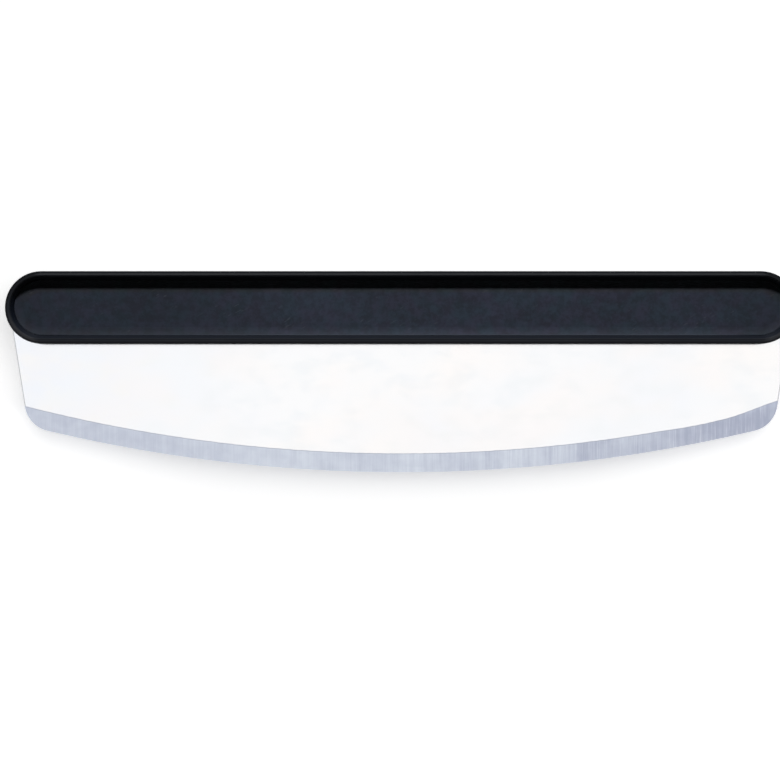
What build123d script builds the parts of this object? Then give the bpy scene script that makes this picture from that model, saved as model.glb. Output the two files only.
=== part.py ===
from build123d import *
import math
import os

# Rocking pizza knife, lying flat on its rear face. All lengths are in millimetres.
# X runs along the handle, +Y points from the cutting edge towards the spine, +Z is the front face.
# The origin is the middle of the overall outline, on the surface that the knife lies on.

# Handle outline and thickness
handle_length = 360.0
handle_height = 33.0
handle_thickness = 20.0

# Handle shells
rim_round = 1.0
rim_crest_round = 0.4
rim_width = 2.1
pocket_inset = 3.8
web_thickness = 4.6
parting_chamfer = 0.25

# Grip inlays, one dished panel in each face
inlay_gap = 0.12
inlay_sheet = 1.4
inlay_edge_land = 0.25
inlay_edge_drop = 0.1
cove_radius = 13.0
cove_rise = 0.5
stud_radius = 2.0
stud_length = 2.8
stud_gap = 0.1
stud_end_gap = 0.3
stud_chamfer = 0.4

# Blade
blade_thickness = 1.0
blade_drop = 58.8
blade_width = 354.0
side_taper = 9.1
edge_radius = 700.0
bevel_radius = 694.0
bevel_width = 8.7
edge_half_land = 0.12
corner_radius = 13.5
shoulder_radius = 1.5
shoulder_depth = 9.6
tang_inset = 5.0
tang_gap = 0.3
cutter_overrun = 4.0

# Clamp screws, each with a washer, a moulded spigot through the tang and a threaded insert
screw_count = 7
screw_end_margin = 30.0
screw_radius = 1.5
screw_hole_gap = 0.2
head_radius = 2.8
head_height = 1.9
head_round = 0.4
head_sink = 0.1
head_side_gap = 0.9
socket_across_flats = 2.0
socket_depth = 1.1
tip_chamfer = 0.4
tip_gap = 0.4
washer_radius = 3.5
washer_thickness = 0.5
washer_hole_gap = 0.1
spigot_radius = 3.4
spigot_gap = 0.3
insert_radius = 2.3
insert_length = 3.6
insert_fit = 0.04
insert_end_gap = 0.2
thread_gap = 0.05
flute_count = 16
flute_radius = 0.18
groove_width = 0.8
groove_depth = 0.3

# Locating dowels
dowel_radius = 2.0
dowel_length = 8.2
dowel_chamfer = 0.3
dowel_end_margin = 15.0
dowel_fit = 0.03
dowel_end_gap = 0.2

# Places that follow from the sizes above
overall_height = handle_height + blade_drop
handle_radius = handle_height / 2
handle_y = overall_height / 2 - handle_radius
straight_half = handle_length / 2 - handle_radius
middle_z = handle_thickness / 2
blade_half = blade_thickness / 2
pocket_floor = blade_half + web_thickness
pocket_radius = handle_radius - pocket_inset
inlay_radius = pocket_radius - inlay_gap
inlay_face = pocket_floor + inlay_sheet
inlay_edge = inlay_face + cove_rise
lip_height = inlay_edge + inlay_edge_drop
head_bottom = pocket_floor - head_sink - head_height
head_seat = head_bottom - washer_thickness
insert_end = blade_half + insert_length
shank_end = insert_end - tip_gap
dowel_half = dowel_length / 2
screw_pitch = (handle_length - 2 * screw_end_margin) / (screw_count - 1)
dowel_spacing = handle_length - 2 * dowel_end_margin

end_plane = Plane(origin=(straight_half, handle_y, middle_z), x_dir=(0, 1, 0), z_dir=(1, 0, 0))
end_axis = Axis((straight_half, handle_y, 0), (0, 0, -1))


def handle_plane(height, facing=1):
    """A plane across the knife at a height above its middle plane, centred on the handle."""
    return Plane(origin=(0, handle_y, middle_z + height), x_dir=(1, 0, 0), z_dir=(0, 0, facing))


def carry_round(section):
    """Carries a half section along the handle's straight sides and turns it round both ends."""
    extrude(section, amount=-straight_half)
    revolve(section, axis=end_axis, revolution_arc=180)
    mirror(about=Plane.XZ.offset(-handle_y))
    mirror(about=Plane.YZ)


def shell_section(outward):
    """Half section of a shell: parting face, rounded rim, steep lip and the pocket for the inlay."""
    with BuildSketch(end_plane) as section:
        with BuildLine():
            Polyline(
                (0, 0),
                (handle_radius - parting_chamfer, 0),
                (handle_radius, outward * parting_chamfer),
                (handle_radius, outward * middle_z),
                (handle_radius - rim_width, outward * middle_z),
                (pocket_radius, outward * lip_height),
                (pocket_radius, outward * pocket_floor),
                (0, outward * pocket_floor),
                close=True,
            )
        make_face()
        rim_corner = section.vertices().sort_by_distance((handle_radius, outward * middle_z))[0]
        fillet(rim_corner, radius=rim_round)
        crest_place = (handle_radius - rim_width, outward * middle_z)
        crest_corner = section.vertices().sort_by_distance(crest_place)[0]
        fillet(crest_corner, radius=rim_crest_round)
    return section.sketch


def inlay_section(outward):
    """Half section of an inlay: a flat panel whose margin curves up to the lip."""
    cove_start = inlay_radius - inlay_edge_land
    cove_run = math.sqrt(cove_radius**2 - (cove_radius - cove_rise) ** 2)
    flat_end = cove_start - cove_run
    half_turn = math.asin(cove_run / cove_radius) / 2
    cove_middle = (
        flat_end + cove_radius * math.sin(half_turn),
        outward * (inlay_face + cove_radius * (1 - math.cos(half_turn))),
    )
    with BuildSketch(end_plane) as section:
        with BuildLine():
            Polyline(
                (flat_end, outward * inlay_face),
                (0, outward * inlay_face),
                (0, outward * pocket_floor),
                (inlay_radius, outward * pocket_floor),
                (inlay_radius, outward * inlay_edge),
                (cove_start, outward * inlay_edge),
            )
            ThreePointArc(
                (cove_start, outward * inlay_edge), cove_middle, (flat_end, outward * inlay_face)
            )
        make_face()
    return section.sketch


def blade_outline(margin=0):
    """Outline of the blade and its tang, seen from the front, grown by a margin."""
    slope = math.tan(math.radians(side_taper))
    edge_depth = handle_radius + blade_drop
    top_y = shoulder_depth - handle_radius
    top_half = blade_width / 2 + slope * shoulder_depth
    low_half = blade_width / 2 - slope * (blade_drop + cutter_overrun)
    low_y = -edge_depth - cutter_overrun
    with BuildSketch(Plane.XY) as outline:
        with BuildLine():
            Polyline(
                (-top_half, top_y),
                (top_half, top_y),
                (low_half, low_y),
                (-low_half, low_y),
                close=True,
            )
        make_face()
        with Locations((0, edge_radius - edge_depth)):
            Circle(edge_radius, mode=Mode.INTERSECT)
        fillet(outline.vertices().group_by(Axis.Y)[0], radius=corner_radius)
        fillet(outline.vertices().group_by(Axis.Y)[-1], radius=shoulder_radius)
        SlotOverall(handle_length - 2 * tang_inset, handle_height - 2 * tang_inset)
        if margin:
            offset(amount=margin)
    return outline.sketch


def screw_row():
    """The clamp screws' places along the handle."""
    return GridLocations(screw_pitch, 0, screw_count, 1)


def stud_row():
    """The inlay studs' places, midway between the screws."""
    return GridLocations(screw_pitch, 0, screw_count - 1, 1)


def dowel_row():
    """The two dowels' places, outside the screws."""
    return GridLocations(dowel_spacing, 0, 2, 1)


def cut_tang_pocket(outward):
    """Sinks half of the blade's thickness into a shell, open along the mouth."""
    with BuildSketch(handle_plane(0)) as pocket:
        add(blade_outline(tang_gap))
    extrude(pocket.sketch, amount=outward * blade_half, mode=Mode.SUBTRACT)


def cut_dowel_sockets(outward):
    """Blind sockets for the dowels, from the tang's face into the web."""
    with BuildSketch(handle_plane(outward * blade_half)) as sockets:
        with dowel_row():
            Circle(dowel_radius + dowel_fit)
    depth = dowel_half - blade_half + dowel_end_gap
    extrude(sockets.sketch, amount=outward * depth, mode=Mode.SUBTRACT)


def cut_stud_sockets(outward):
    """Blind sockets for the inlay's studs, from the pocket's floor into the web."""
    with BuildSketch(handle_plane(outward * pocket_floor)) as sockets:
        with stud_row():
            Circle(stud_radius + stud_gap)
    extrude(sockets.sketch, amount=-outward * (stud_length + stud_end_gap), mode=Mode.SUBTRACT)


# Blade: ground stainless sheet with its tang, holes and a bevel on both sides
with BuildPart() as blade:
    with BuildSketch(handle_plane(-blade_half)) as blade_sheet:
        add(blade_outline())
        with screw_row():
            Circle(spigot_radius + spigot_gap, mode=Mode.SUBTRACT)
        with dowel_row():
            Circle(dowel_radius + dowel_fit, mode=Mode.SUBTRACT)
    extrude(amount=blade_thickness)
    bevel_centre = handle_y - handle_radius - blade_drop + bevel_width + bevel_radius
    bevel_slope = (blade_half - edge_half_land) / bevel_width
    reach = bevel_width + cutter_overrun
    bevel_plane = Plane(origin=(0, bevel_centre, middle_z), x_dir=(1, 0, 0), z_dir=(0, -1, 0))
    for side in (1, -1):
        with BuildSketch(bevel_plane) as bevel_section:
            with BuildLine():
                Polyline(
                    (bevel_radius - cutter_overrun, side * (blade_half + bevel_slope * cutter_overrun)),
                    (bevel_radius + reach, side * (blade_half - bevel_slope * reach)),
                    (bevel_radius + reach, side * (blade_half + bevel_slope * cutter_overrun)),
                    close=True,
                )
            make_face()
        revolve(axis=Axis((0, bevel_centre, 0), (0, 0, 1)), mode=Mode.SUBTRACT)

# Front shell: takes the threaded inserts
with BuildPart() as front_shell:
    carry_round(shell_section(1))
    cut_tang_pocket(1)
    cut_dowel_sockets(1)
    cut_stud_sockets(1)
    with Locations(handle_plane(blade_half, facing=-1)):
        with screw_row():
            Hole(insert_radius + insert_fit, depth=insert_length + insert_end_gap)

# Rear shell: takes the screws' heads and carries the spigots that pass through the tang
with BuildPart() as rear_shell:
    carry_round(shell_section(-1))
    cut_tang_pocket(-1)
    cut_dowel_sockets(-1)
    cut_stud_sockets(-1)
    with BuildSketch(handle_plane(-blade_half)) as spigots:
        with screw_row():
            Circle(spigot_radius)
    extrude(amount=blade_thickness)
    with Locations(handle_plane(-pocket_floor, facing=-1)):
        with screw_row():
            CounterBoreHole(
                radius=screw_radius + screw_hole_gap,
                counter_bore_radius=head_radius + head_side_gap,
                counter_bore_depth=pocket_floor - head_seat,
            )

# Inlays: the dished grip panels, each with a row of studs pressed into its shell
inlays = {}
for inlay_name, outward in (("front_inlay", 1), ("rear_inlay", -1)):
    with BuildPart() as inlay:
        carry_round(inlay_section(outward))
        with BuildSketch(handle_plane(outward * pocket_floor)) as studs:
            with stud_row():
                Circle(stud_radius)
        extrude(studs.sketch, amount=-outward * stud_length)
        stud_ends = inlay.edges().group_by(Axis.Z)[0 if outward > 0 else -1]
        chamfer(stud_ends, length=stud_chamfer)
    inlays[inlay_name] = inlay

# Clamp screws: low round heads with a hexagon socket, driven from the rear
with BuildPart() as clamp_screws:
    with BuildSketch(handle_plane(-pocket_floor + head_sink)):
        with screw_row():
            Circle(head_radius)
    extrude(amount=head_height)
    head_faces = clamp_screws.faces().sort_by(Axis.Z)[:screw_count]
    fillet(head_faces.edges(), radius=head_round)
    with BuildSketch(handle_plane(-head_bottom)):
        with screw_row():
            Circle(screw_radius - thread_gap)
    extrude(amount=head_bottom + shank_end)
    tip_faces = clamp_screws.faces().sort_by(Axis.Z)[-screw_count:]
    chamfer(tip_faces.edges(), length=tip_chamfer)
    with BuildSketch(handle_plane(-pocket_floor + head_sink)):
        with screw_row():
            RegularPolygon(socket_across_flats / 2, 6, major_radius=False)
    extrude(amount=socket_depth, mode=Mode.SUBTRACT)

# Washers under the screws' heads
with BuildPart() as screw_washers:
    with BuildSketch(handle_plane(-head_bottom)):
        with screw_row():
            Circle(washer_radius)
            Circle(screw_radius + washer_hole_gap, mode=Mode.SUBTRACT)
    extrude(amount=washer_thickness)

# Threaded inserts: fluted bushes with a groove round the middle
with BuildPart() as threaded_inserts:
    with BuildSketch(handle_plane(blade_half)):
        with screw_row():
            Circle(insert_radius)
        with screw_row():
            with PolarLocations(insert_radius, flute_count):
                Circle(flute_radius, mode=Mode.SUBTRACT)
        with screw_row():
            Circle(screw_radius, mode=Mode.SUBTRACT)
    extrude(amount=insert_length)
    with BuildSketch(handle_plane(blade_half + (insert_length - groove_width) / 2)):
        with screw_row():
            Circle(insert_radius + groove_depth)
            Circle(insert_radius - groove_depth, mode=Mode.SUBTRACT)
    extrude(amount=groove_width, mode=Mode.SUBTRACT)

# Locating dowels, one near each end of the handle
dowels = {}
for dowel_name, side in (("left_dowel", -1), ("right_dowel", 1)):
    with BuildPart() as dowel:
        with BuildSketch(handle_plane(-dowel_half)):
            with Locations((side * dowel_spacing / 2, 0)):
                Circle(dowel_radius)
        extrude(amount=dowel_length)
        end_edges = dowel.edges().filter_by(GeomType.CIRCLE)
        chamfer(end_edges, length=dowel_chamfer)
    dowels[dowel_name] = dowel

pieces = {
    "blade": blade,
    "front_shell": front_shell,
    "rear_shell": rear_shell,
    **inlays,
    "clamp_screws": clamp_screws,
    "screw_washers": screw_washers,
    "threaded_inserts": threaded_inserts,
    **dowels,
}

os.makedirs("parts", exist_ok=True)
for piece_name, piece in pieces.items():
    piece.part.label = piece_name
    export_step(piece.part, f"parts/{piece_name}.step")
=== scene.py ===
"""Rocking pizza knife on a white studio table, seen from straight above.

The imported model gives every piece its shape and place. This script gives the pieces their finishes,
and adds the table, the lights and the camera. Lengths are in metres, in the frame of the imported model:
+X along the handle, +Y from the cutting edge to the spine, +Z out of the front face.
"""

import logging
import math
from dataclasses import dataclass
from enum import Enum
from typing import Any
from typing import Mapping
from typing import Optional
from typing import Sequence
from typing import Union

import bpy
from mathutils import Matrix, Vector


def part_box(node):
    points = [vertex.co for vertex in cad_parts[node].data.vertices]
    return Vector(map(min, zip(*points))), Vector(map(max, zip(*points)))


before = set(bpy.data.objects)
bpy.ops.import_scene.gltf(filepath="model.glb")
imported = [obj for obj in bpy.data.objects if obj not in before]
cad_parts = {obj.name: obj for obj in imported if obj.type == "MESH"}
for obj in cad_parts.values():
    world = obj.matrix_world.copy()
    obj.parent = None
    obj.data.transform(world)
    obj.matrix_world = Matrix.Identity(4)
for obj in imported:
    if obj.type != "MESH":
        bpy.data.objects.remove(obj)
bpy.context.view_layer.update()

log = logging.getLogger("pizza_knife")

MILLIMETRE = 0.001
FULL_TURN = 360.0

Triple = tuple[float, float, float]
Colour = Triple

# A span is where a smooth step starts and ends. A band is its middle and its reach to each side.
Span = tuple[float, float]
Band = tuple[float, float]

Value = Union[float, int, Triple, "Signal", bpy.types.NodeSocket]

WHITE: Colour = (1.0, 1.0, 1.0)
BLACK: Colour = (0.0, 0.0, 0.0)

# The Mix node's sockets for colours. Their names are shared with its other sockets.
MIX_FACTOR = 0
MIX_FIRST = 6
MIX_SECOND = 7
MIX_RESULT = 2


def scaled(colour: Colour, share: float) -> Colour:
    """A colour times a number."""
    return tuple(part * share for part in colour)


def grey(level: float) -> Colour:
    """A colour with three equal parts."""
    return (level, level, level)


class Piece(Enum):
    """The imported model's nodes, by the names that they carry there."""

    BLADE = "blade"
    FRONT_SHELL = "front_shell"
    REAR_SHELL = "rear_shell"
    FRONT_INLAY = "front_inlay"
    REAR_INLAY = "rear_inlay"
    SCREWS = "clamp_screws"
    WASHERS = "screw_washers"
    INSERTS = "threaded_inserts"
    LEFT_DOWEL = "left_dowel"
    RIGHT_DOWEL = "right_dowel"


class Coordinate(Enum):
    """What a tree reads its points in, by the Texture Coordinate node's names."""

    OBJECT = "Object"
    DIRECTION = "Generated"


class Blend(Enum):
    """How the Mix node lays the second colour over the first."""

    OVER = "MIX"
    TIMES = "MULTIPLY"


class Signal:
    """A shader value with Python arithmetic. Each operator adds the Math node that works it out."""

    def __init__(self, bench: "Bench", socket: bpy.types.NodeSocket) -> None:
        """Keeps the socket and the bench whose tree it is in.

        Args:
            bench: The bench that adds this signal's nodes.
            socket: The output socket that carries the value.
        """
        self.bench = bench
        self.socket = socket

    def _math(self, operation: str, *values: Value) -> "Signal":
        """Adds a Math node.

        Args:
            operation: The Math node's operation.
            *values: What its sockets take, in order.

        Returns:
            The node's result.
        """
        sockets = dict(enumerate(values))
        node = self.bench.add("ShaderNodeMath", {"operation": operation}, sockets)
        return Signal(self.bench, node.outputs[0])

    def __add__(self, other: Value) -> "Signal":
        """This value plus the other."""
        return self._math("ADD", self, other)

    def __radd__(self, other: Value) -> "Signal":
        """The other plus this value."""
        return self._math("ADD", other, self)

    def __sub__(self, other: Value) -> "Signal":
        """This value less the other."""
        return self._math("SUBTRACT", self, other)

    def __rsub__(self, other: Value) -> "Signal":
        """The other less this value."""
        return self._math("SUBTRACT", other, self)

    def __mul__(self, other: Value) -> "Signal":
        """This value times the other."""
        return self._math("MULTIPLY", self, other)

    def __rmul__(self, other: Value) -> "Signal":
        """The other times this value."""
        return self._math("MULTIPLY", other, self)

    def __abs__(self) -> "Signal":
        """This value without its sign."""
        return self._math("ABSOLUTE", self)

    def root(self) -> "Signal":
        """The square root."""
        return self._math("SQRT", self)

    def at_least(self, other: Value) -> "Signal":
        """The larger of this value and the other."""
        return self._math("MAXIMUM", self, other)

    def swing(self, amount: float) -> "Signal":
        """A value from 0 to 1 as a swing about 0, of this amount in all."""
        return (self - 0.5) * amount

    def above(self, floor: float) -> "Signal":
        """A value from 0 to 1 as one from this floor to 1."""
        return floor + self * (1.0 - floor)

    def ramp(self, start: float, end: float) -> "Signal":
        """A smooth step between two values.

        Args:
            start: Where the step is 0.
            end: Where the step is 1. It may be less than start.

        Returns:
            The step, from 0 to 1.
        """
        settings = {"interpolation_type": "SMOOTHSTEP", "clamp": True}
        sockets = {"Value": self, "From Min": start, "From Max": end}
        node = self.bench.add("ShaderNodeMapRange", settings, sockets)
        return Signal(self.bench, node.outputs["Result"])

    def band(self, middle: float, half_width: float) -> "Signal":
        """A soft band, 1 at its middle and 0 past its half width.

        Args:
            middle: The value at the band's middle.
            half_width: How far the band reaches to each side.

        Returns:
            The band, from 0 to 1.
        """
        return abs(self - middle).ramp(half_width, 0.0)


@dataclass(frozen=True)
class Place:
    """A point on a surface, as one vector and as three signals, in metres."""

    point: bpy.types.NodeSocket
    x: Signal
    y: Signal
    z: Signal


@dataclass(frozen=True)
class Cloud:
    """A pattern of cloudy noise.

    Attributes:
        per_metre: How many features a metre holds.
        layers: How many finer layers are added.
        roughness: How strong the finer layers are.
        step: The noise values where its patches begin and where they are full.
        stretch: What each part of the point is multiplied by. 0 makes it even along that axis.
        lift: How far the point is moved along Z, so that patterns differ where they lie flat.
    """

    per_metre: float
    layers: float = 2.0
    roughness: float = 0.5
    step: Span = (0.0, 1.0)
    stretch: Triple = (1.0, 1.0, 1.0)
    lift: float = 0.0


class Bench:
    """Builds one node tree."""

    def __init__(self, tree: bpy.types.NodeTree) -> None:
        """Clears the tree that the nodes go into.

        Args:
            tree: The tree of a material or of the world.
        """
        self.tree = tree
        self.tree.nodes.clear()

    def add(
        self,
        kind: str,
        settings: Optional[Mapping[str, Any]] = None,
        sockets: Optional[Mapping[Union[str, int], Value]] = None,
    ) -> bpy.types.Node:
        """Adds a node, sets it up, then feeds its sockets.

        Args:
            kind: The node's type.
            settings: Its own settings.
            sockets: The value or link of each input, by name or number.

        Returns:
            The node.
        """
        node = self.tree.nodes.new(kind)
        for name, value in (settings or {}).items():
            setattr(node, name, value)
        for key, value in (sockets or {}).items():
            self.feed(node.inputs[key], value)
        return node

    def feed(self, socket: bpy.types.NodeSocket, value: Value) -> None:
        """Links a signal or socket to an input, or writes a constant there.

        Args:
            socket: The input.
            value: A signal, an output socket, a number, a vector or a colour.
        """
        if isinstance(value, Signal):
            self.tree.links.new(value.socket, socket)
        elif isinstance(value, bpy.types.NodeSocket):
            self.tree.links.new(value, socket)
        elif socket.type == "RGBA":
            socket.default_value = (*value, 1.0)
        else:
            socket.default_value = value

    def axes(self, coordinate: Coordinate) -> Place:
        """A texture coordinate and its three parts.

        Args:
            coordinate: A place on an object, or a direction in the world.

        Returns:
            The point, with its parts along X, Y and Z.
        """
        point = self.add("ShaderNodeTexCoord").outputs[coordinate.value]
        parts = self.add("ShaderNodeSeparateXYZ", sockets={0: point})
        return Place(point, *(Signal(self, parts.outputs[axis]) for axis in "XYZ"))

    def vector(self, x: Value, y: Value, z: Value) -> bpy.types.NodeSocket:
        """Three signals as one vector."""
        return self.add("ShaderNodeCombineXYZ", sockets={0: x, 1: y, 2: z}).outputs[0]

    def noise(self, at: bpy.types.NodeSocket, cloud: Cloud) -> Signal:
        """Cloudy noise, about 0.5 on average.

        Args:
            at: The vector that it is read at.
            cloud: The pattern.

        Returns:
            The noise, from 0 to 1.
        """
        moves = {0: at, 1: cloud.stretch, 2: (0.0, 0.0, cloud.lift)}
        moved = self.add("ShaderNodeVectorMath", {"operation": "MULTIPLY_ADD"}, moves).outputs[0]
        sockets = {
            "Vector": moved,
            "Scale": cloud.per_metre,
            "Detail": cloud.layers,
            "Roughness": cloud.roughness,
        }
        node = self.add("ShaderNodeTexNoise", {"noise_dimensions": "3D"}, sockets)
        return Signal(self, node.outputs["Fac"])

    def patches(self, at: bpy.types.NodeSocket, cloud: Cloud) -> Signal:
        """Cloudy noise, spread by the pattern's step so that it runs the whole way from 0 to 1."""
        return self.noise(at, cloud).ramp(*cloud.step)

    def cells(self, at: bpy.types.NodeSocket, per_metre: float) -> Signal:
        """Distance to the nearest of scattered points, which reads as pebbled grain.

        Args:
            at: The vector that it is read at.
            per_metre: How many cells a metre holds.

        Returns:
            The distance, in cells.
        """
        node = self.add("ShaderNodeTexVoronoi", {"feature": "F1"}, {"Vector": at, "Scale": per_metre})
        return Signal(self, node.outputs["Distance"])

    def mix(
        self, factor: Value, first: Value, second: Value, blend: Blend = Blend.OVER
    ) -> bpy.types.NodeSocket:
        """Mixes two colours.

        Args:
            factor: 0 gives the first colour, 1 the blend.
            first: A colour or its socket.
            second: A colour or its socket.
            blend: How the second is laid over the first.

        Returns:
            The mixed colour's socket.
        """
        settings = {"data_type": "RGBA", "blend_type": blend.value}
        sockets = {MIX_FACTOR: factor, MIX_FIRST: first, MIX_SECOND: second}
        return self.add("ShaderNodeMix", settings, sockets).outputs[MIX_RESULT]

    def tinted(self, colour: Value, drift: Signal, tints: tuple[Colour, Colour]) -> bpy.types.NodeSocket:
        """Multiplies a colour by a tint that drifts between two.

        Args:
            colour: The colour or its socket.
            drift: 0 gives the first tint, 1 the second.
            tints: Both tints, near white.

        Returns:
            The tinted colour's socket.
        """
        return self.mix(1.0, colour, self.mix(drift, *tints), Blend.TIMES)


class FinishBench(Bench):
    """Builds one material around a Principled shader."""

    def __init__(self, name: str) -> None:
        """Starts the material.

        Args:
            name: The material's name.
        """
        self.material = bpy.data.materials.new(name)
        self.material.use_nodes = True
        super().__init__(self.material.node_tree)
        self.shader = self.add("ShaderNodeBsdfPrincipled")
        self.add("ShaderNodeOutputMaterial", sockets={"Surface": self.shader.outputs["BSDF"]})

    def bump(self, height: Signal, distance: float, strength: float) -> None:
        """Raises the surface's shading by a height.

        Args:
            height: The height, from 0 to 1.
            distance: How many metres a height of 1 stands for.
            strength: How much of the bump shows.
        """
        sockets = {"Strength": strength, "Distance": distance, "Height": height}
        node = self.add("ShaderNodeBump", sockets=sockets)
        self.feed(self.shader.inputs["Normal"], node.outputs["Normal"])

    def finish(self, **inputs: Value) -> bpy.types.Material:
        """Feeds the shader's named inputs and gives the material.

        Args:
            **inputs: The shader's inputs, with underscores for spaces.

        Returns:
            The finished material.
        """
        for name, value in inputs.items():
            self.feed(self.shader.inputs[name.replace("_", " ")], value)
        return self.material


@dataclass(frozen=True)
class BladeShape:
    """The blade's outline, as far as its finish follows it."""

    bevel_centre_y: float
    bevel_radius: float
    bevel_width: float
    half_width: float
    mouth_y: float
    side_taper: float

    def past_arc(self, place: Place) -> Signal:
        """How far a point is past the bevel's arc, towards the cutting edge."""
        run = place.y - self.bevel_centre_y
        return (place.x * place.x + run * run).root() - self.bevel_radius

    def from_side(self, place: Place) -> Signal:
        """How far a point is from the nearer of the tapered sides."""
        slope = math.tan(self.side_taper)
        return self.half_width - (self.mouth_y - place.y) * slope - abs(place.x)

    def along(self, place: Place, span: Span) -> Signal:
        """A smooth step along X, over a span in shares of the half width from the middle."""
        start, end = span
        return place.x.ramp(start * self.half_width, end * self.half_width)


@dataclass(frozen=True)
class FlatPolish:
    """The blade's flat: neutral steel, cooler at the left, with warm patches and wiped smudges."""

    neutral: Colour = (0.751, 0.742, 0.738)
    cool_tint: Colour = (0.69, 0.705, 0.735)
    warm_tint: Colour = (0.762, 0.748, 0.73)
    smudge: Colour = (0.715, 0.718, 0.722)
    drift_tints: tuple[Colour, Colour] = ((0.988, 1.0, 1.014), (1.012, 0.998, 0.992))
    cool_at_left: float = 0.6
    cool_in_clouds: float = 0.4
    warm_share: float = 0.6
    smudge_share: float = 0.9
    cool_clouds: Cloud = Cloud(14.0, step=(0.4, 0.75))
    warm_patches: Cloud = Cloud(6.0, 1.0, step=(0.5, 0.75), stretch=(1.0, 1.0, 0.0), lift=0.3)
    wiped: Cloud = Cloud(90.0, 3.0, 0.6, step=(0.44, 0.68), stretch=(0.6, 1.0, 0.0))
    drift: Cloud = Cloud(42.0, step=(0.34, 0.66), stretch=(0.6, 1.0, 0.0), lift=0.9)

    def colour(self, bench: Bench, place: Place, left_part: Signal) -> bpy.types.NodeSocket:
        """Lays the tints over each other.

        Args:
            bench: The bench that adds the nodes.
            place: The point on the blade.
            left_part: 1 at the blade's left side, falling to 0 near its middle.

        Returns:
            The flat's colour.
        """
        clouds = bench.patches(place.point, self.cool_clouds)
        cool = left_part * self.cool_at_left + clouds * self.cool_in_clouds
        colour = bench.mix(cool, self.neutral, self.cool_tint)
        warm = bench.patches(place.point, self.warm_patches) * (1 - left_part)
        colour = bench.mix(warm * self.warm_share, colour, self.warm_tint)
        smudges = bench.patches(place.point, self.wiped)
        colour = bench.mix(smudges * self.smudge_share, colour, self.smudge)
        return bench.tinted(colour, bench.patches(place.point, self.drift), self.drift_tints)


@dataclass(frozen=True)
class BevelStreaks:
    """The bevel's tone: streaks across the edge, darker in two steps to the right, with glints there.

    The spans along X are shares of the half width, from the middle.
    """

    light: Colour = (0.69, 0.735, 0.81)
    dark: Colour = (0.4, 0.43, 0.54)
    glint: Colour = (0.84, 0.86, 0.9)
    clear_span: Span = (-0.5, 0.4)
    clear_at_left: float = 0.45
    second_pass_span: Span = (0.45, 0.458)
    last_pass_span: Span = (0.6, 0.84)
    tone: float = 0.58
    coarse_swing: float = 0.38
    fine_swing: float = 0.22
    worn_swing: float = 0.18
    pass_paling: float = 0.16
    left_dimming: float = 0.12
    right_dimming: float = 0.46
    glint_share: float = 0.4
    glint_at_left: float = 0.15
    glint_step: Span = (0.56, 0.7)
    passes: Cloud = Cloud(22.0, 1.0, step=(0.35, 0.65), stretch=(1.0, 0.0, 0.0), lift=0.2)
    worn: Cloud = Cloud(150.0, roughness=0.6, step=(0.3, 0.7), stretch=(1.0, 1.0, 0.0), lift=0.7)
    coarse_step: Span = (0.25, 0.78)
    fine_step: Span = (0.3, 0.7)

    def colour(
        self,
        bench: Bench,
        place: Place,
        shape: BladeShape,
        left_part: Signal,
        coarse: Signal,
        fine: Signal,
    ) -> bpy.types.NodeSocket:
        """Adds the streaks up and mixes the bevel's colours by them.

        Args:
            bench: The bench that adds the nodes.
            place: The point on the blade.
            shape: The blade's outline.
            left_part: 1 at the blade's left side, falling to 0 near its middle.
            coarse: The coarse scratches.
            fine: The fine scratches.

        Returns:
            The bevel's colour.
        """
        second_pass = shape.along(place, self.second_pass_span)
        right_end = (second_pass + shape.along(place, self.last_pass_span)) * 0.5
        clear = shape.along(place, self.clear_span).above(self.clear_at_left)
        scratches = coarse.ramp(*self.coarse_step).swing(self.coarse_swing)
        scratches = scratches + fine.ramp(*self.fine_step).swing(self.fine_swing)
        wear = bench.patches(place.point, self.worn).swing(self.worn_swing)
        streaks = self.tone + scratches * clear + wear
        streaks = streaks + bench.patches(place.point, self.passes) * self.pass_paling
        streaks = streaks - left_part * self.left_dimming - right_end * self.right_dimming
        glints = fine.ramp(*self.glint_step) * right_end.above(self.glint_at_left)
        colour = bench.mix(streaks, self.dark, self.light)
        return bench.mix(glints * self.glint_share, colour, self.glint)


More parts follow.
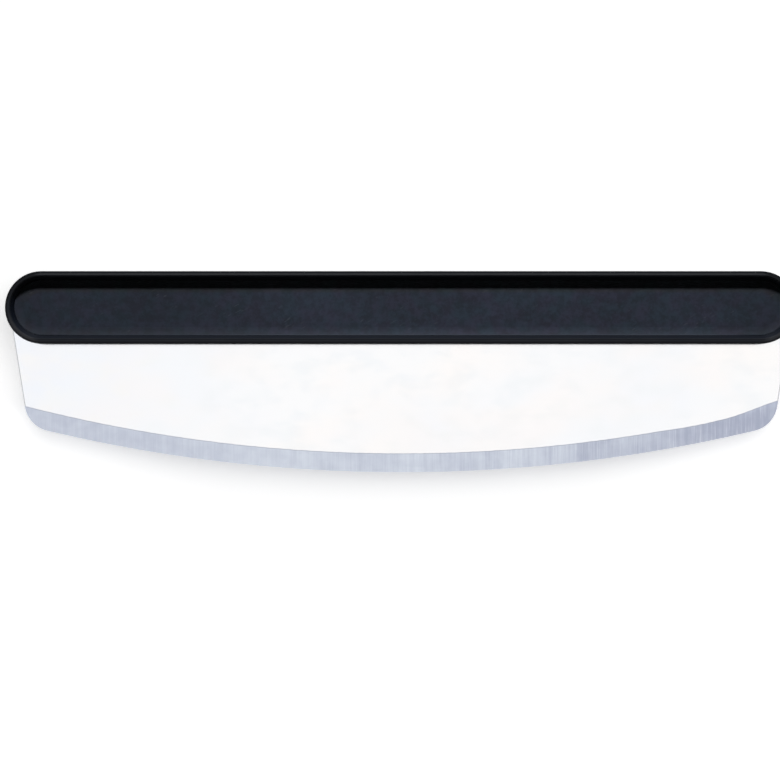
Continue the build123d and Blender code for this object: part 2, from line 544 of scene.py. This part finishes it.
@dataclass(frozen=True)
class BladeSteel:
    """Polished stainless sheet whose bevel was ground by hand, across the edge.

    The left part, the rise and the dip have their places along X as shares of the half width.
    """

    shape: BladeShape
    flat: FlatPolish = FlatPolish()
    bevel: BevelStreaks = BevelStreaks()
    bevel_line: Colour = (0.34, 0.36, 0.42)
    honed: Colour = (0.7, 0.72, 0.77)
    painted_edge_shade: Colour = (0.32, 0.325, 0.335)
    left_span: Span = (-0.2, -0.8)
    rise_span: Span = (0.84, 0.99)
    rise: float = 2.4 * MILLIMETRE
    dip_band: Band = (0.77, 0.13)
    dip: float = 0.45 * MILLIMETRE
    waver_height: float = 0.5 * MILLIMETRE
    border: float = 0.12 * MILLIMETRE
    line_band: Band = (0.15 * MILLIMETRE, 0.4 * MILLIMETRE)
    line_share: float = 0.6
    honed_width: float = 0.8 * MILLIMETRE
    honed_share: float = 0.3
    cut_span: Span = (0.55 * MILLIMETRE, 0.25 * MILLIMETRE)
    cut_share: float = 0.8
    waver: Cloud = Cloud(260.0, roughness=0.6, stretch=(1.0, 0.0, 0.0))
    coarse: Cloud = Cloud(430.0, 3.0, 0.7, stretch=(1.0, 0.02, 0.0))
    fine: Cloud = Cloud(2400.0, roughness=0.6, stretch=(1.0, 0.02, 0.0), lift=0.5)
    polish: Cloud = Cloud(3000.0, roughness=0.6, stretch=(0.03, 1.0, 1.0))
    flat_roughness: float = 0.11
    polish_roughness: float = 0.05
    bevel_roughness: float = 0.24
    fine_roughness: float = 0.1
    polish_height: float = 0.2
    scratch_height: float = 0.6
    bump_distance: float = 0.004 * MILLIMETRE
    bump_strength: float = 0.5

    def material(self) -> bpy.types.Material:
        """Joins the flat and the bevel along their line, then adds the honed edge and painted shade along
        the cut sides.

        Returns:
            The blade's material.
        """
        bench = FinishBench("blade_steel_ground")
        place = bench.axes(Coordinate.OBJECT)
        waver = bench.noise(place.point, self.waver).swing(self.waver_height)
        depth = self.shape.past_arc(place) + waver
        past_line = depth + self._rise(place)
        on_bevel = past_line.ramp(-self.border, self.border)
        coarse = bench.noise(place.point, self.coarse)
        fine = bench.noise(place.point, self.fine)
        polish = bench.noise(place.point, self.polish)

        left_part = self.shape.along(place, self.left_span)
        flat = self.flat.colour(bench, place, left_part)
        bevel = self.bevel.colour(bench, place, self.shape, left_part, coarse, fine)
        line = past_line.band(*self.line_band)
        bevel = bench.mix(line * self.line_share, bevel, self.bevel_line)
        honing = depth.ramp(self.shape.bevel_width - self.honed_width, self.shape.bevel_width)
        bevel = bench.mix(honing * self.honed_share, bevel, self.honed)
        colour = bench.mix(on_bevel, flat, bevel)
        # Painted shade: a dark line along the cut sides.
        cut = self.shape.from_side(place).ramp(*self.cut_span) * (1 - on_bevel)
        colour = bench.mix(cut * self.cut_share, colour, self.painted_edge_shade)

        roughness = self.flat_roughness + polish * self.polish_roughness
        roughness = roughness + on_bevel * (self.bevel_roughness + fine * self.fine_roughness)
        height = polish * self.polish_height + on_bevel * ((coarse + fine) * self.scratch_height)
        bench.bump(height, self.bump_distance, self.bump_strength)
        return bench.finish(Base_Color=colour, Metallic=1.0, Roughness=roughness)

    def _rise(self, place: Place) -> Signal:
        """How far hand grinding left the bevel's line above its arc: a climb at the right, a dip before it.

        Args:
            place: The point on the blade.

        Returns:
            The rise in metres, less than 0 in the dip.
        """
        middle, reach = self.dip_band
        half_width = self.shape.half_width
        dip = place.x.band(middle * half_width, reach * half_width)
        return self.shape.along(place, self.rise_span) * self.rise - dip * self.dip


@dataclass(frozen=True)
class RoundEnded:
    """The handle's outline: a straight run with a half circle at each end."""

    middle_y: float
    middle_z: float
    straight_half: float
    radius: float
    side_share: float = 0.6

    def inset(self, place: Place) -> Signal:
        """How far inside the outline a point is.

        Args:
            place: The point.

        Returns:
            The distance in metres.
        """
        past_end = self.past_end(place)
        off_axis = place.y - self.middle_y
        return self.radius - (past_end * past_end + off_axis * off_axis).root()

    def past_end(self, place: Place) -> Signal:
        """How far a point is past the straight run, or 0."""
        return (abs(place.x) - self.straight_half).at_least(0.0)

    def palm_side(self, place: Place) -> Signal:
        """1 along the spine, where the palm rests, falling to 0 at the middle line."""
        return (place.y - self.middle_y).ramp(0.0, self.side_share * self.radius)

    def mouth_side(self, place: Place) -> Signal:
        """1 along the mouth, where the blade comes out, falling to 0 at the middle line."""
        return (self.middle_y - place.y).ramp(0.0, self.side_share * self.radius)


@dataclass(frozen=True)
class ShellNylon:
    """Black glass-filled nylon, satin from the mould, a little worn along the rim, with a painted highlight
    along the crest and painted shade on the rounding and the crest's inner edge.

    Places across the rim are insets from the outline. The face's span counts from the handle's middle
    plane. Values named less take a part of an effect away, at the mouth's ends or along its run.
    """

    outline: RoundEnded
    colour: Colour = (0.0082, 0.01, 0.0146)
    rub_and_highlight: Colour = (0.02, 0.022, 0.0265)
    painted_crest_highlight: Colour = (0.045, 0.045, 0.047)
    polished: Colour = (0.0026, 0.0038, 0.007)
    painted_rim_shade: Colour = (0.0022, 0.0028, 0.0042)
    mottle: Cloud = Cloud(900.0, 3.0, 0.6)
    fibre: Cloud = Cloud(2600.0, roughness=0.6, stretch=(0.25, 1.0, 1.0))
    handled: Cloud = Cloud(45.0, step=(0.42, 0.72))
    crest_band: Band = (1.45 * MILLIMETRE, 1.1 * MILLIMETRE)
    highlight_band: Band = (1.35 * MILLIMETRE, 0.4 * MILLIMETRE)
    inner_edge_band: Band = (2.1 * MILLIMETRE, 0.45 * MILLIMETRE)
    mouth_edge_band: Band = (1.8 * MILLIMETRE, 0.4 * MILLIMETRE)
    rounding_span: Span = (1.25 * MILLIMETRE, 0.95 * MILLIMETRE)
    lip_span: Span = (2.1 * MILLIMETRE, 2.5 * MILLIMETRE)
    face_span: Span = (8.6 * MILLIMETRE, 9.2 * MILLIMETRE)
    end_length: float = 5.0 * MILLIMETRE
    wear_share: float = 0.4
    mottle_share: float = 0.18
    highlight_share: float = 0.8
    end_highlight_share: float = 0.4
    rounding_share: float = 0.8
    inner_edge_share: float = 0.7
    mouth_edge_share: float = 0.5
    less_rounding_at_end: float = 0.8
    less_rounding_on_run: float = 0.45
    less_inner_edge_at_end: float = 0.7
    less_lip_at_end: float = 0.3
    roughness: float = 0.57
    mottle_roughness: float = 0.1
    rounding_roughness: float = 0.36
    inner_edge_roughness: float = 0.4
    wear_polish: float = 0.07
    lip_polish: float = 0.32
    specular: float = 0.18
    mottle_height: float = 0.6
    fibre_height: float = 0.4
    bump_distance: float = 0.02 * MILLIMETRE
    bump_strength: float = 0.35

    def material(self) -> bpy.types.Material:
        """Mottled dark plastic, scuffed on the crest, polished on the lip, with a painted highlight along
        the crest and painted shade on the rounding, the ends by the palm and the crest's inner edge.

        Returns:
            The shells' material.
        """
        bench = FinishBench("shell_nylon_satin")
        place = bench.axes(Coordinate.OBJECT)
        mottle = bench.noise(place.point, self.mottle)
        fibre = bench.noise(place.point, self.fibre)
        inset = self.outline.inset(place)
        palm_side = self.outline.palm_side(place)
        mouth_side = self.outline.mouth_side(place)
        rounded_end = self.outline.past_end(place).ramp(0.0, self.end_length)
        mouth_end = rounded_end * mouth_side
        mouth_run = mouth_side - mouth_end

        crest = inset.band(*self.crest_band)
        wear = crest * bench.patches(place.point, self.handled)
        # Painted highlight: a thin lighter line along the crest on the spine's side, where the key light
        # falls.
        highlight_line = inset.band(*self.highlight_band) * palm_side * (1 - rounded_end)
        kept = 1 - mouth_end * self.less_rounding_at_end - mouth_run * self.less_rounding_on_run
        on_face = abs(place.z - self.outline.middle_z).ramp(*self.face_span)
        rounding = inset.ramp(*self.rounding_span) * kept * on_face
        inner_edge = inset.band(*self.inner_edge_band) * (1 - mouth_end * self.less_inner_edge_at_end)
        mouth_edge = inset.band(*self.mouth_edge_band) * mouth_run
        inner_edge = inner_edge + mouth_edge * self.mouth_edge_share
        lip = inset.ramp(*self.lip_span)

        rub_and_highlight = wear * self.wear_share + mottle * self.mottle_share
        colour = bench.mix(rub_and_highlight, self.colour, self.rub_and_highlight)
        # Painted highlight: that line, and a lighter crest at the mouth's ends.
        worn = highlight_line * self.highlight_share + mouth_end * crest * self.end_highlight_share
        colour = bench.mix(worn, colour, self.painted_crest_highlight)
        # Painted light: the polished lip's darker colour is held back at the mouth's ends, where the lip
        # faces the key light.
        colour = bench.mix(lip * (1 - mouth_end * self.less_lip_at_end), colour, self.polished)
        # Painted shade: darker outer rounding, most on the spine's side, darker ends by the palm and a
        # darker inner edge of the crest.
        painted_rim_shade = (rounding + rounded_end * palm_side) * self.rounding_share
        painted_rim_shade = painted_rim_shade + inner_edge * self.inner_edge_share
        colour = bench.mix(painted_rim_shade, colour, self.painted_rim_shade)

        roughness = self.roughness + mottle * self.mottle_roughness - wear * self.wear_polish
        roughness = roughness - lip * self.lip_polish + rounding * self.rounding_roughness
        roughness = roughness + inner_edge * self.inner_edge_roughness
        height = mottle * self.mottle_height + fibre * self.fibre_height
        bench.bump(height, self.bump_distance, self.bump_strength)
        return bench.finish(Base_Color=colour, Roughness=roughness, Specular_IOR_Level=self.specular)


@dataclass(frozen=True)
class InlayGrain:
    """Slate plastic with the fine pebble of a spark-eroded mould, scuffed by use.

    The grip and the margin's ends have their places along X as shares of half the inlay's length.
    """

    outline: RoundEnded
    colour: Colour = (0.0142, 0.019, 0.0323)
    unrubbed: Colour = (0.0102, 0.0146, 0.025)
    dark_share: float = 0.68
    light_share: float = 1.32
    scuff: Colour = (0.034, 0.041, 0.055)
    margin: Colour = (0.033, 0.04, 0.056)
    drift_tints: tuple[Colour, Colour] = ((0.86, 1.06, 1.0), (1.12, 0.95, 1.02))
    palm_shadow_tints: tuple[Colour, Colour] = (WHITE, (1.0, 0.88, 0.68))
    pebbles_per_metre: float = 1900.0
    speckle: Cloud = Cloud(1300.0, 3.0, 0.7)
    mottle: Cloud = Cloud(330.0, 3.0, 0.65, step=(0.34, 0.66))
    tone: Cloud = Cloud(28.0, 3.0, step=(0.3, 0.7), stretch=(1.0, 3.0, 1.0))
    drift: Cloud = Cloud(130.0, step=(0.32, 0.68), lift=0.4)
    stroke: Cloud = Cloud(210.0, 1.0, step=(0.66, 0.74), stretch=(1.0, 5.0, 1.0))
    rubbing: Cloud = Cloud(60.0, step=(0.5, 0.62))
    stroke_lean: float = 0.6
    mottle_share: float = 0.6
    tone_share: float = 0.4
    scuff_share: float = 0.55
    grip_start: Span = (-0.62, -0.3)
    grip_end: Span = (1.2, 0.7)
    palm_shadow_span: Span = (6.2 * MILLIMETRE, 4.8 * MILLIMETRE)
    mouth_shade_span: Span = (4.5 * MILLIMETRE, 1.0 * MILLIMETRE)
    mouth_shade_share: float = 0.26
    margin_span: Span = (0.5 * MILLIMETRE, 0.2 * MILLIMETRE)
    margin_end: Span = (0.92, 0.8)
    margin_ungripped: float = 0.45
    roughness: float = 0.68
    speckle_roughness: float = 0.1
    scuff_polish: float = 0.08
    specular: float = 0.25
    pebble_height: float = 0.7
    speckle_height: float = 0.5
    bump_distance: float = 0.03 * MILLIMETRE
    bump_strength: float = 0.55

    def material(self) -> bpy.types.Material:
        """Pebbled matte surface, mottled, paler where it is gripped, with short scuffs, a painted highlight
        at the edge by the mouth, painted shade beside it and a painted warm tint over the shadow by the
        palm.

        Returns:
            The inlays' material.
        """
        bench = FinishBench("inlay_pebble_matte")
        place = bench.axes(Coordinate.OBJECT)
        pebble = bench.cells(place.point, self.pebbles_per_metre)
        speckle = bench.noise(place.point, self.speckle)
        half_length = self.outline.straight_half + self.outline.radius
        across = place.x * (1.0 / half_length)
        gripped = across.ramp(*self.grip_start) * across.ramp(*self.grip_end)

        mottle = bench.patches(place.point, self.mottle) * self.mottle_share
        paleness = mottle + bench.patches(place.point, self.tone) * self.tone_share
        tones = [
            bench.mix(gripped, scaled(self.unrubbed, share), scaled(self.colour, share))
            for share in (self.dark_share, self.light_share)
        ]
        colour = bench.mix(paleness, *tones)
        colour = bench.tinted(colour, bench.patches(place.point, self.drift), self.drift_tints)
        scuffs = bench.patches(self._leaning(bench, place), self.stroke)
        scuffs = scuffs * bench.patches(place.point, self.rubbing)
        colour = bench.mix(scuffs * self.scuff_share, colour, self.scuff)
        colour = self._margins(bench, place, gripped, across, colour)

        roughness = self.roughness + speckle * self.speckle_roughness - scuffs * self.scuff_polish
        height = pebble * self.pebble_height + speckle * self.speckle_height
        bench.bump(height, self.bump_distance, self.bump_strength)
        return bench.finish(Base_Color=colour, Roughness=roughness, Specular_IOR_Level=self.specular)

    def _leaning(self, bench: Bench, place: Place) -> bpy.types.NodeSocket:
        """The point turned a little, so that the scuffs lean across the grip."""
        lean = self.stroke_lean
        return bench.vector(place.x + place.y * lean, place.y - place.x * lean, place.z)

    def _margins(
        self,
        bench: Bench,
        place: Place,
        gripped: Signal,
        across: Signal,
        colour: bpy.types.NodeSocket,
    ) -> bpy.types.NodeSocket:
        """Adds the warmer painted tint over the shadow by the palm, and painted shade and a painted
        highlight along the mouth's edge.

        Args:
            bench: The bench that adds the nodes.
            place: The point on the inlay.
            gripped: 1 where it is gripped, falling to 0 towards the left end and a little to the right.
            across: The place along X, as a share of half the length.
            colour: The colour so far.

        Returns:
            The colour with its margins.
        """
        inset = self.outline.inset(place)
        palm_side = self.outline.palm_side(place)
        # Painted shade colour: a warmer tint over the shadow by the palm and along its edge.
        colour = bench.tinted(colour, inset.ramp(*self.palm_shadow_span) * palm_side, self.palm_shadow_tints)
        # Painted shade: darker along the mouth's side of the edge, towards the ends, where the cove faces
        # the light.
        dim = inset.ramp(*self.mouth_shade_span) * self.outline.mouth_side(place) * (1 - gripped)
        colour = bench.mix(dim * self.mouth_shade_share, colour, BLACK)
        # Painted highlight: a lighter line at the very edge on the mouth's side, fading towards the ends.
        rub_and_highlight = inset.ramp(*self.margin_span) * (1 - palm_side) * abs(across).ramp(*self.margin_end)
        rub_and_highlight = rub_and_highlight * gripped.above(self.margin_ungripped)
        return bench.mix(rub_and_highlight, colour, self.margin)


@dataclass(frozen=True)
class TurnedMetal:
    """Small turned hardware: steel or brass with fine tool marks."""

    name: str
    light: Colour
    dark: Colour
    roughness: float
    rings: Cloud = Cloud(9000.0, roughness=0.6, stretch=(0.0, 0.0, 1.0))
    stain: Cloud = Cloud(300.0, 3.0, step=(0.35, 0.75))
    stain_roughness: float = 0.15
    bump_distance: float = 0.008 * MILLIMETRE
    bump_strength: float = 0.5

    def material(self) -> bpy.types.Material:
        """Metal with rings of tool marks along Z and slow staining.

        Returns:
            The hardware's material.
        """
        bench = FinishBench(self.name)
        place = bench.axes(Coordinate.OBJECT)
        rings = bench.noise(place.point, self.rings)
        stain = bench.noise(place.point, self.stain)
        colour = bench.mix(stain.ramp(*self.stain.step), self.light, self.dark)
        roughness = self.roughness + stain * self.stain_roughness
        bench.bump(rings, self.bump_distance, self.bump_strength)
        return bench.finish(Base_Color=colour, Metallic=1.0, Roughness=roughness)


@dataclass(frozen=True)
class TablePaint:
    """White table top that glows as painted light, like an acrylic sheet lit from below, more so away from
    the knife.
    """

    colour: Colour = (0.93, 0.93, 0.93)
    grain: Cloud = Cloud(700.0)
    grain_dimming: float = 0.985
    roughness: float = 0.9
    glow_near: float = 0.472
    glow_ends: float = 0.6
    glow_far: float = 0.9
    near: float = 0.09
    ends: float = 0.2
    far: float = 2.0
    edge_side: Span = (-12.0 * MILLIMETRE, -24.0 * MILLIMETRE)

    def material(self) -> bpy.types.Material:
        """Matte white with a faint grain and a glow.

        Returns:
            The table's material.
        """
        bench = FinishBench("table_white")
        place = bench.axes(Coordinate.OBJECT)
        grain = bench.noise(place.point, self.grain)
        colour = bench.mix(grain, self.colour, scaled(self.colour, self.grain_dimming))
        away = (place.x * place.x + place.y * place.y).root()
        # Painted light: more glow under the blade's ends, below the edge, lightens the knife's shadow
        # there.
        at_ends = away.ramp(self.near, self.ends) * place.y.ramp(*self.edge_side)
        glow = bench.mix(at_ends, grey(self.glow_near), grey(self.glow_ends))
        glow = bench.mix(away.ramp(self.ends, self.far), glow, grey(self.glow_far))
        return bench.finish(
            Base_Color=colour,
            Roughness=self.roughness,
            Specular_IOR_Level=0.0,
            Emission_Color=glow,
            Emission_Strength=1.0,
        )


def dress(piece: Piece, material: bpy.types.Material) -> None:
    """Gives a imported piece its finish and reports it.

    Args:
        piece: The piece.
        material: What its slots get.
    """
    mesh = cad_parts[piece.value].data
    for index in range(len(mesh.materials)):
        mesh.materials[index] = material
    low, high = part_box(piece.value)
    size = ", ".join(f"{(high[i] - low[i]) / MILLIMETRE:.1f}" for i in range(3))
    log.info("%s: %s, %s mm", piece.value, material.name, size)


@dataclass
class Blade:
    """The ground blade."""

    bevel_width: float = 8.7 * MILLIMETRE
    bevel_radius: float = 694.0 * MILLIMETRE
    width: float = 354.0 * MILLIMETRE
    side_taper: float = math.radians(9.1)

    def build(self) -> None:
        """Dresses the blade, with the bevel's arc placed from the cutting edge."""
        low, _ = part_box(Piece.BLADE.value)
        handle_low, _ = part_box(Piece.FRONT_SHELL.value)
        shape = BladeShape(
            bevel_centre_y=low.y + self.bevel_width + self.bevel_radius,
            bevel_radius=self.bevel_radius,
            bevel_width=self.bevel_width,
            half_width=self.width / 2,
            mouth_y=handle_low.y,
            side_taper=self.side_taper,
        )
        dress(Piece.BLADE, BladeSteel(shape).material())


@dataclass
class Handle:
    """Both shells and both inlays."""

    thickness: float = 20.0 * MILLIMETRE

    def build(self) -> None:
        """Dresses the shells with nylon and the inlays with pebbled plastic."""
        nylon = ShellNylon(self._outline(Piece.FRONT_SHELL)).material()
        for shell in (Piece.FRONT_SHELL, Piece.REAR_SHELL):
            dress(shell, nylon)
        grain = InlayGrain(self._outline(Piece.FRONT_INLAY)).material()
        for inlay in (Piece.FRONT_INLAY, Piece.REAR_INLAY):
            dress(inlay, grain)

    def _outline(self, piece: Piece) -> RoundEnded:
        """The round-ended outline of a shell or an inlay.

        Args:
            piece: The piece.

        Returns:
            Its outline.
        """
        low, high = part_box(piece.value)
        radius = (high.y - low.y) / 2
        return RoundEnded(
            middle_y=(low.y + high.y) / 2,
            middle_z=self.thickness / 2,
            straight_half=high.x - radius,
            radius=radius,
        )


@dataclass
class Hardware:
    """The screws, washers, inserts and dowels inside the handle."""

    steel_light: Colour = (0.62, 0.63, 0.65)
    steel_dark: Colour = (0.45, 0.46, 0.48)
    steel_roughness: float = 0.28
    brass_light: Colour = (0.78, 0.6, 0.28)
    brass_dark: Colour = (0.6, 0.43, 0.18)
    brass_roughness: float = 0.3

    def build(self) -> None:
        """Dresses the steel pieces and the brass inserts."""
        steel = TurnedMetal(
            "fastener_steel_turned", self.steel_light, self.steel_dark, self.steel_roughness
        ).material()
        brass = TurnedMetal(
            "insert_brass_turned", self.brass_light, self.brass_dark, self.brass_roughness
        ).material()
        for piece in (Piece.SCREWS, Piece.WASHERS, Piece.LEFT_DOWEL, Piece.RIGHT_DOWEL):
            dress(piece, steel)
        dress(Piece.INSERTS, brass)


@dataclass(frozen=True)
class Panel:
    """A rectangular light that faces the picture's middle, with its angles in degrees."""

    name: str
    azimuth: float
    elevation: float
    distance: float
    width: float
    depth: float
    radiance: float

    def build(self, middle: Vector, lit: Sequence[bpy.types.Object]) -> None:
        """Places the light.

        Args:
            middle: The point that it faces.
            lit: The things that it lights.
        """
        data = bpy.data.lights.new(self.name, "AREA")
        data.shape = "RECTANGLE"
        data.size = self.width
        data.size_y = self.depth
        data.energy = math.pi * self.radiance * self.width * self.depth
        light = bpy.data.objects.new(self.name, data)
        turn = math.radians(self.azimuth)
        rise = math.radians(self.elevation)
        across = math.cos(rise)
        towards = Vector((across * math.sin(turn), across * math.cos(turn), math.sin(rise)))
        light.location = middle + towards * self.distance
        light.rotation_euler = towards.to_track_quat("Z", "Y").to_euler()
        bpy.context.scene.collection.objects.link(light)
        receivers = bpy.data.collections.new(f"lit_by_{self.name}")
        for thing in lit:
            receivers.objects.link(thing)
        light.light_linking.receiver_collection = receivers
        log.info("%s: %.1f W", self.name, data.energy)


@dataclass
class Studio:
    """Table, lights and camera. A panel's azimuth counts from the spine's side towards +X."""

    table_half: float = 3.0
    key: Panel = Panel(
        "key_light", azimuth=0.0, elevation=29.7, distance=1.6, width=0.14, depth=0.14, radiance=660.0
    )
    sky: Panel = Panel(
        "blade_sky", azimuth=0.0, elevation=71.0, distance=2.0, width=2.8, depth=3.2, radiance=1.3
    )
    wash: Panel = Panel(
        "table_wash", azimuth=16.0, elevation=61.5, distance=2.0, width=3.1, depth=2.4, radiance=1.63
    )
    mouth_fill: Panel = Panel(
        "mouth_fill", azimuth=180.0, elevation=0.9, distance=2.0, width=3.0, depth=0.05, radiance=42.0
    )
    side_radiances: tuple[float, ...] = (0.6, 0.6, 0.7, 0.95)
    side_elevation: float = 30.0
    side_distance: float = 2.0
    side_width: float = 4.0
    side_depth: float = 1.4
    horizon_radiance: float = 1.0
    horizon_span: Span = (0.3, 0.2)
    spine_side_radiance: float = 0.05
    edge_side_radiance: float = 0.01
    spine_side_span: Span = (-0.1, 0.5)
    camera_height: float = 1.0
    near_clip: float = 0.01
    view_width: float = 354.6 * MILLIMETRE
    view_plane: float = 18.5 * MILLIMETRE
    view_centre_x: float = -5.05 * MILLIMETRE
    view_centre_y: float = -8.12 * MILLIMETRE

    def build(self) -> None:
        """Sets up the whole studio."""
        table = self._table()
        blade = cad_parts[Piece.BLADE.value]
        handle = [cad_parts[piece.value] for piece in Piece if piece is not Piece.BLADE]
        middle = Vector((self.view_centre_x, self.view_centre_y, 0.0))
        self.key.build(middle, handle)
        self.mouth_fill.build(middle, handle)
        self.sky.build(middle, [blade])
        self.wash.build(middle, [table])
        self._side_panels(middle, blade)
        self._room()
        self._camera()
        self._picture()

    def _table(self) -> bpy.types.Object:
        """A wide flat table top under the knife.

        Returns:
            The table top.
        """
        half = self.table_half
        mesh = bpy.data.meshes.new("table")
        corners = [(-half, -half, 0.0), (half, -half, 0.0), (half, half, 0.0), (-half, half, 0.0)]
        mesh.from_pydata(corners, [], [(0, 1, 2, 3)])
        table = bpy.data.objects.new("table", mesh)
        bpy.context.scene.collection.objects.link(table)
        mesh.materials.append(TablePaint().material())
        log.info("table: %.1f m wide", 2 * half)
        return table

    def _side_panels(self, middle: Vector, blade: bpy.types.Object) -> None:
        """A ring of low panels that the blade mirrors when it is seen from the side.

        Args:
            middle: The point that they face.
            blade: The blade.
        """
        count = len(self.side_radiances)
        for index, radiance in enumerate(self.side_radiances):
            panel = Panel(
                name=f"blade_side_{index + 1}",
                azimuth=(index + 0.5) * FULL_TURN / count,
                elevation=self.side_elevation,
                distance=self.side_distance,
                width=self.side_width,
                depth=self.side_depth,
                radiance=radiance,
            )
            panel.build(middle, [blade])

    def _room(self) -> None:
        """A pale room: white near the floor, dim high up, most of all where the cutting edge faces."""
        world = bpy.data.worlds.new("pale_room")
        world.use_nodes = True
        bench = Bench(world.node_tree)
        towards = bench.axes(Coordinate.DIRECTION)
        low = towards.z.ramp(*self.horizon_span)
        spine_side = towards.y.ramp(*self.spine_side_span)
        gain = self.spine_side_radiance - self.edge_side_radiance
        high_radiance = self.edge_side_radiance + spine_side * gain
        radiance = high_radiance + low * (self.horizon_radiance - high_radiance)
        sockets = {"Color": WHITE, "Strength": radiance}
        background = bench.add("ShaderNodeBackground", sockets=sockets)
        bench.add("ShaderNodeOutputWorld", sockets={"Surface": background.outputs[0]})
        bpy.context.scene.world = world

    def _camera(self) -> None:
        """A camera straight above, framed as the photograph is."""
        data = bpy.data.cameras.new("camera")
        camera = bpy.data.objects.new("camera", data)
        camera.location = (self.view_centre_x, self.view_centre_y, self.camera_height)
        reach = self.camera_height - self.view_plane
        data.lens = data.sensor_width * reach / self.view_width
        data.clip_start = self.near_clip
        bpy.context.scene.collection.objects.link(camera)
        bpy.context.scene.camera = camera
        log.info("camera: %.1f mm lens", data.lens)

    def _picture(self) -> None:
        """Plain colour handling, so that white stays white."""
        settings = bpy.context.scene.view_settings
        settings.view_transform = "Standard"
        settings.look = "None"
        settings.exposure = 0.0


def main() -> None:
    """Builds the studio and dresses the knife."""
    logging.basicConfig(level=logging.INFO, format="%(name)s: %(message)s")
    for assembly in (Studio(), Blade(), Handle(), Hardware()):
        assembly.build()


if __name__ == "__main__":
    main()
